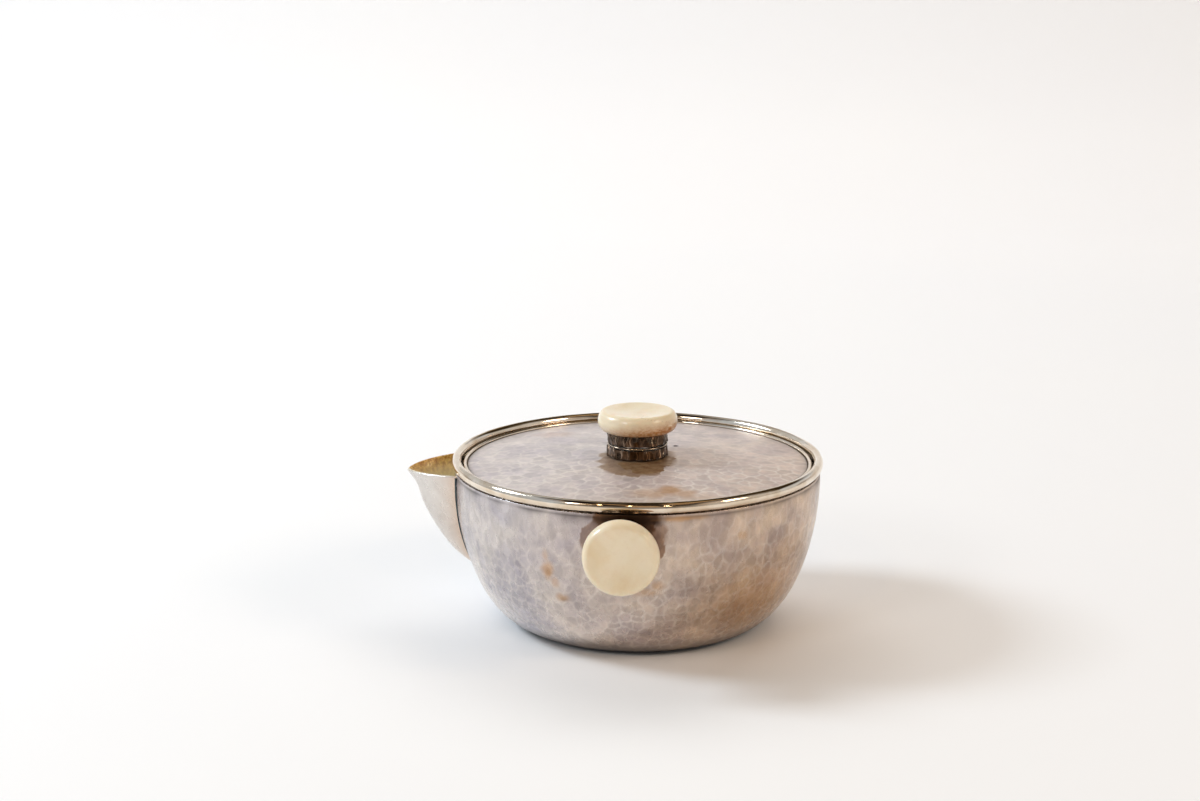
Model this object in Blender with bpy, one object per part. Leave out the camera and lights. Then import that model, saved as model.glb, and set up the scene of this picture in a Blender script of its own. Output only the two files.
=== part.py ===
"""Side-grip silver teapot: a raised and hammered bowl with an open lip spout, a rim moulding, a lift-off
lid, and two turned ivory-coloured knobs, one on the lid and one on the side as the grip.

Frame: the origin is the centre of the base on the table, +Z is up, the spout points along -X and the grip
along -Y. Lengths are given in millimetres and turned into metres where a mesh or an object is made.
"""
import math

import bmesh
import bpy
from mathutils import Matrix, Vector

MM = 0.001
GAP = 0.3            # clearance between neighbouring pieces

# Bowl
RIM_RADIUS = 60.0    # outside of the rim moulding
WALL_RADIUS = 59.2   # outside of the wall at its top
BASE_RADIUS = 34.5   # where the flat base turns into the curved wall
WALL_HEIGHT = 50.0   # height of the curved wall
BOWL_TOP = 51.0      # top edge of the sheet, under the moulding
WALL = 1.2           # sheet thickness
CURVE_STEPS = 9      # faces up the curved wall
TRIM_TOP = 71.0      # top of the solid that trims the spout and the grip's collar to the wall

# Rim moulding and lid seat
BEAD_WIDTH = 3.0
BEAD_HEIGHT = 3.6
SEAT_INNER = 54.6
SEAT_TOP = 50.7
SEAT_THICKNESS = 1.1

# Lid
LID_RING_OUTER = 56.4
LID_RING_INNER = 55.2
LID_RING_TOP = 53.0
DOME_RADIUS = LID_RING_INNER - GAP
DOME_APEX = 54.6
DOME_EDGE = 52.2
LID_SHEET = 1.0
FLANGE_OUTER = 54.2
FLANGE_INNER = 53.0
FLANGE_BOTTOM = 45.5
VENT_RADIUS = 0.75
VENT_DISTANCE = 17.5
VENT_TURN = 48.0     # degrees from +X
VENT_SIDES = 10
VENT_CUT_LENGTH = 8.0

# Knobs: heights above the surface that they stand on, and radii
KNOB_COLLAR_RADIUS = 9.6
KNOB_DISC_RADIUS = 12.9
GRIP_COLLAR_RADIUS = 8.7
GRIP_DISC_RADIUS = 11.65
GRIP_HEIGHT = 41.2   # height of the grip's axis above the table
COLLAR_SHEET = 1.0
COLLAR_TOP = 3.4
WIRE_INSET = 0.3      # how far the wire's middle lies inside the collar's outer face
WIRE_HALF_WIDTH = 0.65
WIRE_HALF = 0.3
CUP_BOTTOM = 4.6
CUP_FLOOR = 1.0
CUP_TOP = 8.0
DISC_BOTTOM = CUP_TOP + GAP
DISC_THICKNESS = 6.5
DISH_DEPTH = 0.9
DISH_CURVE = [(0.0, 1.0), (0.5, 0.75), (0.8, 0.3)]    # shares of the dish's radius and of its depth
DISC_SHOULDER = 2.0   # width of the rounding at the top of the disc's edge
DISC_UNDERCUT = 2.6   # width of the rounding below
DISC_WIDEST = 0.48    # height of the widest place as a share of the thickness
DISC_CURVE_STEPS = 4
STUD_RADIUS = 1.3
STUD_TOP = 11.6
STUD_HEAD_RADIUS = 2.8
STUD_HEAD_THICKNESS = 1.0
GRIP_FOOT = -3.0      # the grip's collar starts inside the wall and is cut to its curve

# Spout: the keel's outline as distance from the pot's axis and height, from inside the wall to the tip
KEEL = [(49.5, 14.6), (55.4, 17.6), (61.3, 22.7), (66.8, 30.5), (70.4, 37.5), (72.5, 43.8), (75.4, 47.7)]
SPOUT_HALF_WIDTH = 17.0
SPOUT_EDGE_RISE = 2.4    # how much higher the lip's edge is at the wall than at the tip
SPOUT_SHEET = 1.0
SPOUT_INSET = 2.5        # how far the uncut sheet runs on inside the wall
WIDTH_POWER = 0.62
REACH_POWER = 1.25
SPREAD_POWER = 1.24
SPOUT_ROWS = 12
SPOUT_COLUMNS = 20

# Strainer holes through the wall behind the spout: height of each row and number of holes in it
STRAINER_ROWS = [(44.0, 5), (40.2, 6), (36.4, 5), (32.6, 4), (28.8, 3)]
STRAINER_PITCH = 4.4
STRAINER_RADIUS = 1.2
STRAINER_SIDES = 8
STRAINER_CUT_LENGTH = 7.2

# Faces round the turned pieces and wires
LARGE_STEPS = 48
SMALL_STEPS = 28
STUD_STEPS = 12
BEAD_SIDES = 10
ARCH_STEPS = 4
WIRE_SIDES = 6

SHARP_ANGLE = 35.0    # degrees: edges sharper than this stay crisp


def clear_scene():
    for old in list(bpy.data.objects):
        bpy.data.objects.remove(old)


def material(name, colour, roughness, metallic):
    made = bpy.data.materials.new(name)
    made.use_nodes = True
    shader = made.node_tree.nodes["Principled BSDF"]
    shader.inputs["Base Color"].default_value = (*colour, 1.0)
    shader.inputs["Roughness"].default_value = roughness
    shader.inputs["Metallic"].default_value = metallic
    made.diffuse_color = (*colour, 1.0)
    return made


def add_object(name, bm, finish, parent=None):
    """An object from a bmesh in millimetres, smooth on its round faces."""
    bmesh.ops.scale(bm, vec=(MM, MM, MM), verts=bm.verts)
    bmesh.ops.recalc_face_normals(bm, faces=bm.faces)
    mesh = bpy.data.meshes.new(name)
    bm.to_mesh(mesh)
    bm.free()
    mesh.shade_smooth()
    mesh.set_sharp_from_angle(angle=math.radians(SHARP_ANGLE))
    made = bpy.data.objects.new(name, mesh)
    made.data.materials.append(finish)
    made.parent = parent
    bpy.context.scene.collection.objects.link(made)
    return made


def add_axis(name, location, rotation=(0.0, 0.0, 0.0)):
    """An empty that a group of pieces is parented to, placed in millimetres."""
    made = bpy.data.objects.new(name, None)
    made.location = Vector(location) * MM
    made.rotation_euler = rotation
    bpy.context.scene.collection.objects.link(made)
    return made


def turned_mesh(outline, steps):
    """A closed shape turned about Z from (radius, height) points. Points on the axis close a solid."""
    solid = outline[0][0] == 0 and outline[-1][0] == 0
    bm = bmesh.new()
    verts = [bm.verts.new((radius, 0, height)) for radius, height in outline]
    pairs = list(zip(verts, verts[1:]))
    if not solid:
        pairs.append((verts[-1], verts[0]))
    edges = [bm.edges.new(pair) for pair in pairs]
    bmesh.ops.spin(
        bm, geom=verts + edges, cent=(0, 0, 0), axis=(0, 0, 1), angle=math.tau, steps=steps, use_merge=True
    )
    bmesh.ops.remove_doubles(bm, verts=bm.verts, dist=1e-4)
    bmesh.ops.recalc_face_normals(bm, faces=bm.faces)
    return bm


def turned(name, outline, finish, parent=None, steps=LARGE_STEPS):
    return add_object(name, turned_mesh(outline, steps), finish, parent)


def box_ring(inner, outer, bottom, top):
    """The square section of a plain ring or tube."""
    return [(inner, bottom), (outer, bottom), (outer, top), (inner, top)]


def oval_ring(centre_radius, centre_height, half_width, half_height, sides):
    """The oval section of a drawn wire."""
    points = []
    for i in range(sides):
        angle = math.tau * i / sides
        radius = centre_radius + half_width * math.cos(angle)
        points.append((radius, centre_height + half_height * math.sin(angle)))
    return points


def cut(target, cutter):
    """Takes the cutter's shape out of the target. The cutter is only a helper."""
    cutter.hide_render = True
    cutter.display_type = "WIRE"
    boolean = target.modifiers.new("cut", "BOOLEAN")
    boolean.operation = "DIFFERENCE"
    boolean.solver = "EXACT"
    boolean.object = cutter


# Bowl ------------------------------------------------------------------------------------------------


def wall_points(offset):
    """The wall's quarter oval from the base to the top, moved outwards by an offset."""
    reach = WALL_RADIUS - BASE_RADIUS
    points = []
    for i in range(CURVE_STEPS + 1):
        angle = math.pi / 2 * i / CURVE_STEPS
        normal = Vector((WALL_HEIGHT * math.sin(angle), -reach * math.cos(angle))).normalized()
        point = Vector((BASE_RADIUS + reach * math.sin(angle), WALL_HEIGHT * (1 - math.cos(angle))))
        points.append(tuple(point + normal * offset))
    return points


def wall_radius(height):
    """Outer radius of the bowl at a height."""
    share = 1 - min(max(height, 0.0), WALL_HEIGHT) / WALL_HEIGHT
    return BASE_RADIUS + (WALL_RADIUS - BASE_RADIUS) * math.sqrt(1 - share * share)


def bowl_outline():
    """The sheet's section, out from the middle of the flat base, up the wall and back down inside."""
    outside = [(0, 0)] + wall_points(0) + [(WALL_RADIUS, BOWL_TOP)]
    inside = [(0, WALL)] + wall_points(-WALL) + [(WALL_RADIUS - WALL, BOWL_TOP)]
    return outside + inside[::-1]


def strainer_cutter(finish):
    """Pins that stand radially through the wall, in staggered rows behind the spout."""
    bm = bmesh.new()
    for height, count in STRAINER_ROWS:
        radius = wall_radius(height)
        for i in range(count):
            along = (i - (count - 1) / 2) * STRAINER_PITCH
            turn = math.pi + along / radius
            place = (
                Matrix.Rotation(turn, 4, "Z")
                @ Matrix.Translation((radius - WALL / 2, 0, height))
                @ Matrix.Rotation(math.pi / 2, 4, "Y")
            )
            bmesh.ops.create_cone(
                bm, cap_ends=True, segments=STRAINER_SIDES, radius1=STRAINER_RADIUS, radius2=STRAINER_RADIUS,
                depth=STRAINER_CUT_LENGTH, matrix=place,
            )
    return add_object("strainer_cutter", bm, finish)


def bowl_envelope(name, finish):
    """The bowl's outside as a solid, one clearance larger, which trims the pieces soldered to the wall."""
    outline = [(0, -GAP)] + wall_points(GAP) + [(WALL_RADIUS + GAP, TRIM_TOP), (0, TRIM_TOP)]
    return turned(name, outline, finish)


def make_bowl(silver, polished):
    bowl = turned("bowl", bowl_outline(), silver)
    cut(bowl, strainer_cutter(silver))
    bead_centre = BOWL_TOP + GAP + BEAD_HEIGHT / 2
    bead = oval_ring(RIM_RADIUS - BEAD_WIDTH / 2, bead_centre, BEAD_WIDTH / 2, BEAD_HEIGHT / 2, BEAD_SIDES)
    turned("rim_moulding", bead, polished)
    seat_outer = WALL_RADIUS - WALL - GAP
    turned("lid_seat_ring", box_ring(SEAT_INNER, seat_outer, SEAT_TOP - SEAT_THICKNESS, SEAT_TOP), polished)


# Spout -----------------------------------------------------------------------------------------------


def keel_point(share):
    """A point of the keel's smooth curve, a Catmull-Rom spline through KEEL."""
    spans = len(KEEL) - 1
    position = min(max(share, 0.0), 1.0) * spans
    i = min(int(position), spans - 1)
    t = position - i
    p0, p1, p2, p3 = (Vector(KEEL[min(max(i + k, 0), spans)]) for k in (-1, 0, 1, 2))
    first = (p2 - p0) * t
    second = (2 * p0 - 5 * p1 + 4 * p2 - p3) * t**2
    third = (3 * p1 - p0 - 3 * p2 + p3) * t**3
    return 0.5 * (2 * p1 + first + second + third)


def spout_point(share, across):
    """A point of the spout's outer face. across runs from -1 at one root edge, by 0 at the keel, to 1."""
    reach, height = keel_point(share)
    bottom, top = KEEL[0][1], KEEL[-1][1]
    half_width = SPOUT_HALF_WIDTH * ((height - bottom) / (top - bottom)) ** WIDTH_POWER
    angle = math.pi / 2 * (1 - abs(across))
    outwards = math.sin(angle) ** REACH_POWER
    y = math.copysign(half_width * math.cos(angle) ** SPREAD_POWER, across)
    root = math.sqrt(max(wall_radius(height) ** 2 - half_width**2, 0.0)) - SPOUT_INSET
    x = root + (reach - root) * outwards
    z = height + SPOUT_EDGE_RISE * share**3 * math.sqrt(max(1 - outwards, 0.0))
    return Vector((-x, y, z))


def make_spout(silver, polished):
    """The lip spout: one bent sheet, trimmed to the bowl's wall."""
    bm = bmesh.new()
    foot = bm.verts.new(spout_point(0.0, 0.0))
    across = [2 * j / SPOUT_COLUMNS - 1 for j in range(SPOUT_COLUMNS + 1)]
    grid = []
    for i in range(1, SPOUT_ROWS + 1):
        grid.append([bm.verts.new(spout_point(i / SPOUT_ROWS, place)) for place in across])
    for left, right in zip(grid[0], grid[0][1:]):
        bm.faces.new((foot, left, right))
    for low, high in zip(grid, grid[1:]):
        for j in range(SPOUT_COLUMNS):
            bm.faces.new((low[j], high[j], high[j + 1], low[j + 1]))
    spout = add_object("spout", bm, polished)
    sheet = spout.modifiers.new("sheet", "SOLIDIFY")
    sheet.thickness = SPOUT_SHEET * MM
    sheet.offset = -1
    cut(spout, bowl_envelope("spout_trim", silver))


# Knobs -----------------------------------------------------------------------------------------------


def disc_outline(radius, spigot):
    """A round-edged disc with a dished face, a spigot below that fills the cup, and a blind stud hole."""
    crest = radius - DISC_SHOULDER
    middle = DISC_BOTTOM + DISC_WIDEST * DISC_THICKNESS
    top = DISC_BOTTOM + DISC_THICKNESS
    outline = [(crest * out, top - DISH_DEPTH * deep) for out, deep in DISH_CURVE]
    for i in range(DISC_CURVE_STEPS + 1):
        angle = math.pi / 2 * (1 - i / DISC_CURVE_STEPS)
        outline.append((crest + DISC_SHOULDER * math.cos(angle), middle + (top - middle) * math.sin(angle)))
    for i in range(1, DISC_CURVE_STEPS + 1):
        angle = math.pi / 2 * i / DISC_CURVE_STEPS
        out = radius - DISC_UNDERCUT * (1 - math.cos(angle))
        outline.append((out, middle - (middle - DISC_BOTTOM) * math.sin(angle)))
    floor = CUP_BOTTOM + CUP_FLOOR + GAP
    bore = STUD_RADIUS + GAP
    outline += [(spigot, DISC_BOTTOM), (spigot, floor), (bore, floor)]
    outline += [(bore, STUD_TOP + GAP), (0, STUD_TOP + GAP)]
    return outline[::-1]


def make_knob(prefix, axis, collar_radius, disc_radius, collar_foot, polished, ivory):
    """The five pieces of a knob along its own +Z: base collar, wire ring, cup, stud and disc."""
    inner = collar_radius - COLLAR_SHEET
    collar = box_ring(inner, collar_radius, collar_foot, COLLAR_TOP)
    turned(f"{prefix}_base_collar", collar, polished, axis, SMALL_STEPS)
    wire_middle = (COLLAR_TOP + CUP_BOTTOM) / 2
    wire = oval_ring(collar_radius - WIRE_INSET, wire_middle, WIRE_HALF_WIDTH, WIRE_HALF, WIRE_SIDES)
    turned(f"{prefix}_wire_ring", wire, polished, axis, SMALL_STEPS)
    bore = STUD_RADIUS + GAP
    cup = [
        (bore, CUP_BOTTOM), (collar_radius, CUP_BOTTOM), (collar_radius, CUP_TOP), (inner, CUP_TOP),
        (inner, CUP_BOTTOM + CUP_FLOOR), (bore, CUP_BOTTOM + CUP_FLOOR),
    ]
    turned(f"{prefix}_cup", cup, polished, axis, SMALL_STEPS)
    head_top = CUP_BOTTOM - GAP
    head_bottom = head_top - STUD_HEAD_THICKNESS
    stud = [
        (0, head_bottom), (STUD_HEAD_RADIUS, head_bottom), (STUD_HEAD_RADIUS, head_top),
        (STUD_RADIUS, head_top), (STUD_RADIUS, STUD_TOP), (0, STUD_TOP),
    ]
    turned(f"{prefix}_stud", stud, polished, axis, STUD_STEPS)
    turned(f"{prefix}_disc", disc_outline(disc_radius, inner - GAP), ivory, axis, SMALL_STEPS)


def make_grip(silver, polished, ivory):
    """The side knob, level on the front of the bowl, its base collar cut to the wall's curve."""
    axis = add_axis("grip_axis", (0, -WALL_RADIUS, GRIP_HEIGHT), (math.pi / 2, 0, 0))
    make_knob("grip", axis, GRIP_COLLAR_RADIUS, GRIP_DISC_RADIUS, GRIP_FOOT, polished, ivory)
    cut(bpy.data.objects["grip_base_collar"], bowl_envelope("grip_trim", silver))


# Lid -------------------------------------------------------------------------------------------------


def dome_height(radius):
    """Height of the lid's upper face."""
    return DOME_APEX - (DOME_APEX - DOME_EDGE) * (radius / DOME_RADIUS) ** 2


def make_lid(silver, polished, ivory):
    """The lid's pieces, all on one axis, which is also the line that it lifts along."""
    axis = add_axis("lid_axis", (0, 0, 0))
    radii = [DOME_RADIUS * share for share in (0, 0.25, 0.5, 0.75, 1)]
    upper = [(radius, dome_height(radius)) for radius in radii]
    lower = [(radius, height - LID_SHEET) for radius, height in upper]
    shell = turned("lid_shell", lower + upper[::-1], silver, axis)
    bm = bmesh.new()
    turn = Matrix.Rotation(math.radians(VENT_TURN), 4, "Z")
    place = turn @ Matrix.Translation((VENT_DISTANCE, 0, DOME_APEX))
    bmesh.ops.create_cone(
        bm, cap_ends=True, segments=VENT_SIDES, radius1=VENT_RADIUS, radius2=VENT_RADIUS,
        depth=VENT_CUT_LENGTH, matrix=place,
    )
    cut(shell, add_object("vent_cutter", bm, silver, axis))

    middle = (LID_RING_INNER + LID_RING_OUTER) / 2
    half = (LID_RING_OUTER - LID_RING_INNER) / 2
    ring_bottom = SEAT_TOP + GAP
    ring = [(LID_RING_INNER, ring_bottom), (LID_RING_OUTER, ring_bottom)]
    for i in range(ARCH_STEPS + 1):
        angle = math.pi * i / ARCH_STEPS
        ring.append((middle + half * math.cos(angle), LID_RING_TOP - half + half * math.sin(angle)))
    turned("lid_edge_ring", ring, polished, axis)
    flange_top = dome_height(FLANGE_OUTER) - LID_SHEET - GAP
    turned("lid_flange", box_ring(FLANGE_INNER, FLANGE_OUTER, FLANGE_BOTTOM, flange_top), polished, axis)

    knob_axis = add_axis("knob_axis", (0, 0, DOME_APEX))
    knob_axis.parent = axis
    make_knob("knob", knob_axis, KNOB_COLLAR_RADIUS, KNOB_DISC_RADIUS, GAP, polished, ivory)


def main():
    clear_scene()
    silver = material("hammered_silver", (0.56, 0.50, 0.47), 0.34, 1.0)
    polished = material("polished_silver", (0.74, 0.70, 0.64), 0.14, 1.0)
    ivory = material("ivory", (0.86, 0.75, 0.54), 0.28, 0.0)
    make_bowl(silver, polished)
    make_spout(silver, polished)
    make_grip(silver, polished, ivory)
    make_lid(silver, polished, ivory)


main()
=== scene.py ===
"""Hammered silver teapot with a side grip: finished surfaces, their materials, the light and the camera.

Every new piece is a surface worked out with numpy in the row frame: the pot's axis is +Z, the spout points
along -X and the grip along -Y. Surfaces are worked out in millimetres, and put_mesh turns them into metres.
"""

import math

import bpy
import numpy as np
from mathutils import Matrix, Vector


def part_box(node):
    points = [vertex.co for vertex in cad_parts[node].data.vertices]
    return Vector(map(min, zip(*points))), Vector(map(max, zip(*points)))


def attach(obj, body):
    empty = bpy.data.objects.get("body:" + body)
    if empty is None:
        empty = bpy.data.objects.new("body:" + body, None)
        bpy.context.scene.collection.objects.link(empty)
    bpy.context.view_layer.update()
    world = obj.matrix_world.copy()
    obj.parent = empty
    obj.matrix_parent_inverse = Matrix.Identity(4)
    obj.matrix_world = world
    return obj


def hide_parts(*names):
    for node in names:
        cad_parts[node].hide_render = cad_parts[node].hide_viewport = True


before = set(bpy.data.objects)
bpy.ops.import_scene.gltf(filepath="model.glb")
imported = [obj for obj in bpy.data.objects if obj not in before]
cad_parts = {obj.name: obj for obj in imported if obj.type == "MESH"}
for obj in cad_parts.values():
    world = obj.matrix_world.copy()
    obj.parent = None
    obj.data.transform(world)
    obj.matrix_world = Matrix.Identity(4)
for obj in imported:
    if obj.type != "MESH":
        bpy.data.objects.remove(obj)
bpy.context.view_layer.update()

MM = 0.001
TAU = 2 * math.pi


def extent(node):
    """Lowest and highest corner of a CAD node in millimetres."""
    low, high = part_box(node)
    return np.array(low) / MM, np.array(high) / MM


BOWL_LOW, BOWL_HIGH = extent("bowl")
RIM_LOW, RIM_HIGH = extent("rim_moulding")
SEAT_LOW, SEAT_HIGH = extent("lid_seat_ring")
SHELL_LOW, SHELL_HIGH = extent("lid_shell")
EDGE_LOW, EDGE_HIGH = extent("lid_edge_ring")
GRIP_LOW, GRIP_HIGH = extent("grip_disc")
FLANGE_LOW, FLANGE_HIGH = extent("lid_flange")

# Forms that the boxes do not hold, in millimetres
BASE_RADIUS = 34.5
WALL_RADIUS = BOWL_HIGH[0]
WALL_HEIGHT = 50.0
BOWL_TOP = BOWL_HIGH[2]
WALL = 1.2
KEEL = np.array(
    [(49.5, 14.6), (55.4, 17.6), (61.3, 22.7), (66.8, 30.5), (70.4, 37.5), (72.5, 43.8), (75.4, 47.7)]
)
SPOUT_HALF_WIDTH = 17.0
SPOUT_EDGE_RISE = 2.4
SPOUT_SHEET = 1.0
WIDTH_POWER = 0.62
STRAINER_ROWS = [(44.0, 5), (40.2, 6), (36.4, 5), (32.6, 4), (28.8, 3)]
STRAINER_PITCH = 4.4
STRAINER_RADIUS = 1.2
VENT_RADIUS = 0.75
VENT_DISTANCE = 17.5
VENT_TURN = 48.0
DISC_FOOT = 8.3  # from a knob's foot to the disc's underside
DISC_THICK = 6.5


# Surfaces --------------------------------------------------------------------------------------------


def put_mesh(name, points, tables, material, body, marks=None):
    """A piece from points in millimetres and tables of faces, with a value per point for each named mark."""
    mesh = bpy.data.meshes.new(name)
    counts = np.concatenate([np.full(len(table), table.shape[1]) for table in tables])
    corners = np.concatenate([table.ravel() for table in tables])
    mesh.vertices.add(len(points))
    mesh.vertices.foreach_set("co", (points * MM).astype(np.float32).ravel())
    mesh.loops.add(len(corners))
    mesh.loops.foreach_set("vertex_index", corners.astype(np.int32))
    mesh.polygons.add(len(counts))
    mesh.polygons.foreach_set("loop_start", np.concatenate([[0], np.cumsum(counts)[:-1]]).astype(np.int32))
    mesh.polygons.foreach_set("loop_total", counts.astype(np.int32))
    for mark, values in (marks or {}).items():
        layer = mesh.attributes.new(mark, "FLOAT", "POINT")
        layer.data.foreach_set("value", np.asarray(values, np.float32).ravel())
    mesh.update(calc_edges=True)
    mesh.validate()
    mesh.shade_smooth()
    mesh.materials.append(material)
    piece = bpy.data.objects.new(name, mesh)
    bpy.context.scene.collection.objects.link(piece)
    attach(piece, body)
    return piece


def grid_faces(rows, columns, around=True, closed=False):
    """Quads between neighbouring points of a grid. around joins the last column to the first, closed the last
    row to the first."""
    i = np.arange(rows if closed else rows - 1)[:, None]
    j = np.arange(columns if around else columns - 1)[None]
    below, above = i * columns, (i + 1) % rows * columns
    right = (j + 1) % columns
    return np.stack([below + j, below + right, above + right, above + j], -1).reshape(-1, 4)


def surface(
    name, points, material, body, marks=None, around=True, closed=False, drop=None, poles=(False, False)
):
    """A piece from a grid of points, rows by columns by 3. A pole draws the first or last row together into
    one point. drop marks the points whose faces, where all four corners are marked, are left out."""
    rows, columns = points.shape[:2]
    faces = grid_faces(rows, columns, around, closed)
    flat = points.reshape(-1, 3)
    if drop is not None:
        faces = faces[~drop.reshape(-1)[faces].all(1)]
    remap = np.arange(len(flat))
    if poles[0]:
        remap[:columns] = 0
    if poles[1]:
        remap[-columns:] = (rows - 1) * columns
    faces = remap[faces]
    used, index = np.unique(faces, return_inverse=True)
    faces = index.reshape(faces.shape)
    marks = {mark: np.asarray(values).reshape(-1)[used] for mark, values in (marks or {}).items()}
    flat = flat[used]
    thin = (faces == np.roll(faces, -1, 1)).any(1)
    repeat = (faces[thin] == np.roll(faces[thin], -1, 1)).argmax(1)
    order = (repeat[:, None] + np.array([1, 2, 3])) % 4
    tables = [faces[~thin], np.take_along_axis(faces[thin], order, 1)]
    return put_mesh(name, flat, tables, material, body, marks)


def lathe(outline, columns=180):
    """A grid of points: each (radius, height) of the outline carried round the Z axis."""
    outline = np.asarray(outline, float)
    angle = TAU * np.arange(columns) / columns
    radius, height = outline[:, :1], outline[:, 1:]
    return np.stack([radius * np.cos(angle), radius * np.sin(angle), height + 0 * angle], -1)


def turned(name, outline, material, body, columns=180, closed=True):
    return surface(name, lathe(outline, columns), material, body, closed=closed)


def resample(outline, step=None, count=None):
    """The same outline with points at equal steps along its length."""
    outline = np.asarray(outline, float)
    run = np.concatenate([[0], np.cumsum(np.hypot(*np.diff(outline, axis=0).T))])
    count = count or max(int(run[-1] / step), 2)
    at = np.linspace(0, run[-1], count)
    return np.stack([np.interp(at, run, outline[:, 0]), np.interp(at, run, outline[:, 1])], 1)


def wander(along, angle, rng, waves, slowest, fastest):
    """A smooth, uneven wave field round a turned piece: a sum of sines, each with a whole number of turns
    between slowest and fastest, so that it meets itself. along is in millimetres and rises with its rows."""
    field = np.zeros(np.broadcast(along, angle).shape)
    for _ in range(waves):
        turns = rng.integers(slowest, fastest + 1) * rng.choice([-1, 1])
        rate = rng.uniform(-1, 1) * fastest / 60
        field += np.sin(turns * angle + rate * along + rng.uniform(0, TAU))
    return field / math.sqrt(waves)


RING_STEP = 0.87  # from one ring of blows to the next, in pitches
BLOW_REACH = 2.4  # the nearest two blows lie within this many pitches of any point
STRAY = 0.3  # how far the borders between marks stray, in millimetres


def strike(along, radii, columns, pitch, tall, seed, jitter=0.38):
    """Hammer blows over a turned surface, as grids: the distance of each point from the nearest blow, its
    distance from the border with the next blow's mark, a shade for each blow, where that blow fell (along the
    outline and round the axis), and then the angle of each column.

    The smith works in rings: one ring of blows every pitch along the outline, each ring turned half a blow
    from the last, and each blow a little off its place. A point belongs to the nearest blow. The border with
    the second nearest is the line half way between the two, which is (second squared - nearest squared) over
    twice the distance between the two blows. tall, one number or one for each row, stretches the marks along
    the outline."""
    rng = np.random.default_rng(seed)
    stretch = np.broadcast_to(np.asarray(tall, float), along.shape)
    blows, place, ring = [], along[0] - pitch, 0
    while place < along[-1] + pitch * stretch[-1]:
        step = pitch * np.interp(place, along, stretch)
        count = max(int(TAU * np.interp(place, along, radii) / pitch), 4)
        turn = (np.arange(count) + 0.5 * (ring % 2) + rng.uniform(-jitter, jitter, count)) * TAU / count
        spread = place + rng.uniform(-jitter, jitter, count) * step
        blows.append(np.stack([spread, turn, rng.uniform(0, 1, count)], 1))
        place, ring = place + RING_STEP * step, ring + 1
    blows = np.concatenate(blows)
    angle = TAU * np.arange(columns) / columns
    drift = wander(along[:, None], angle[None], rng, 18, 14, 90) * STRAY
    slide = wander(along[:, None], angle[None], rng, 18, 14, 90) * STRAY
    nearest = np.empty((len(along), columns))
    border, shade, fell, facing = nearest.copy(), nearest.copy(), nearest.copy(), nearest.copy()
    for row, (place, radius, length) in enumerate(zip(along, radii, stretch)):
        close = blows[np.abs(blows[:, 0] - place) < BLOW_REACH * pitch * length]
        across = (angle[:, None] - close[:, 1] + slide[row][:, None] / radius + math.pi) % TAU - math.pi
        across = across * radius
        up = (place + drift[row][:, None] - close[:, 0]) / length
        square = across**2 + up**2
        order = np.argpartition(square, 1, axis=1)[:, :2]
        pair = np.take_along_axis(square, order, 1)
        swap = pair[:, 0] > pair[:, 1]
        order[swap] = order[swap][:, ::-1]
        pair.sort(axis=1)
        pick = np.arange(columns)
        one, two = (pick, order[:, 0]), (pick, order[:, 1])
        apart = np.hypot(across[one] - across[two], up[one] - up[two])
        nearest[row] = np.sqrt(pair[:, 0])
        border[row] = (pair[:, 1] - pair[:, 0]) / (2 * np.maximum(apart, 0.3))
        fell[row], facing[row], shade[row] = close[order[:, 0]].T
    return nearest, border, shade, fell, facing, angle


def dished(nearest, border, face_radius, soft=0.28):
    """Height of a hammered surface: each mark is a shallow dish, nearest squared over twice the hammer face's
    radius, and the crest between two marks is rounded off within about soft of the border."""
    return nearest**2 / (2 * face_radius) - soft**2 / face_radius * np.exp(-((border / soft) ** 2))


def raised(outline, height):
    """A lathe grid moved outwards from its outline's own slope by a height for each point."""
    columns = height.shape[1]
    slope = np.gradient(outline, axis=0)
    out = np.stack([slope[:, 1], -slope[:, 0]], 1)
    out /= np.maximum(np.hypot(*out.T), 1e-9)[:, None]
    angle = TAU * np.arange(columns) / columns
    radius = outline[:, :1] + out[:, :1] * height
    return np.stack(
        [radius * np.cos(angle), radius * np.sin(angle), outline[:, 1:] + out[:, 1:] * height], -1
    )


def pierce(points, centre, axis, radius, reach):
    """Opens a round hole in a grid: points nearer the hole's axis than its radius plus reach are moved to the
    hole's edge. Returns the moved grid and the marked points."""
    offset = points - centre
    axis = np.asarray(axis) / np.linalg.norm(axis)
    deep = (offset @ axis)[..., None] * axis
    side = offset - deep
    distance = np.linalg.norm(side, axis=-1)
    marked = (distance < radius + reach) & (np.abs(offset @ axis) < 6)
    share = np.where(marked, radius / np.maximum(distance, 1e-6), 1)[..., None]
    return centre + deep + side * share, marked


def lining(centre, axis, radius, depth, sides=20):
    """The short tube that lines a hole, its faces looking in at the hole's axis."""
    axis = np.asarray(axis, float) / np.linalg.norm(axis)
    first = np.cross(axis, (0.0, 0.0, 1.0) if abs(axis[2]) < 0.9 else (1.0, 0.0, 0.0))
    first /= np.linalg.norm(first)
    second = np.cross(axis, first)
    angle = TAU * np.arange(sides) / sides
    ring = radius * (np.cos(angle)[:, None] * first + np.sin(angle)[:, None] * second)
    return np.stack([centre + ring + axis * depth / 2, centre + ring - axis * depth / 2])


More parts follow.
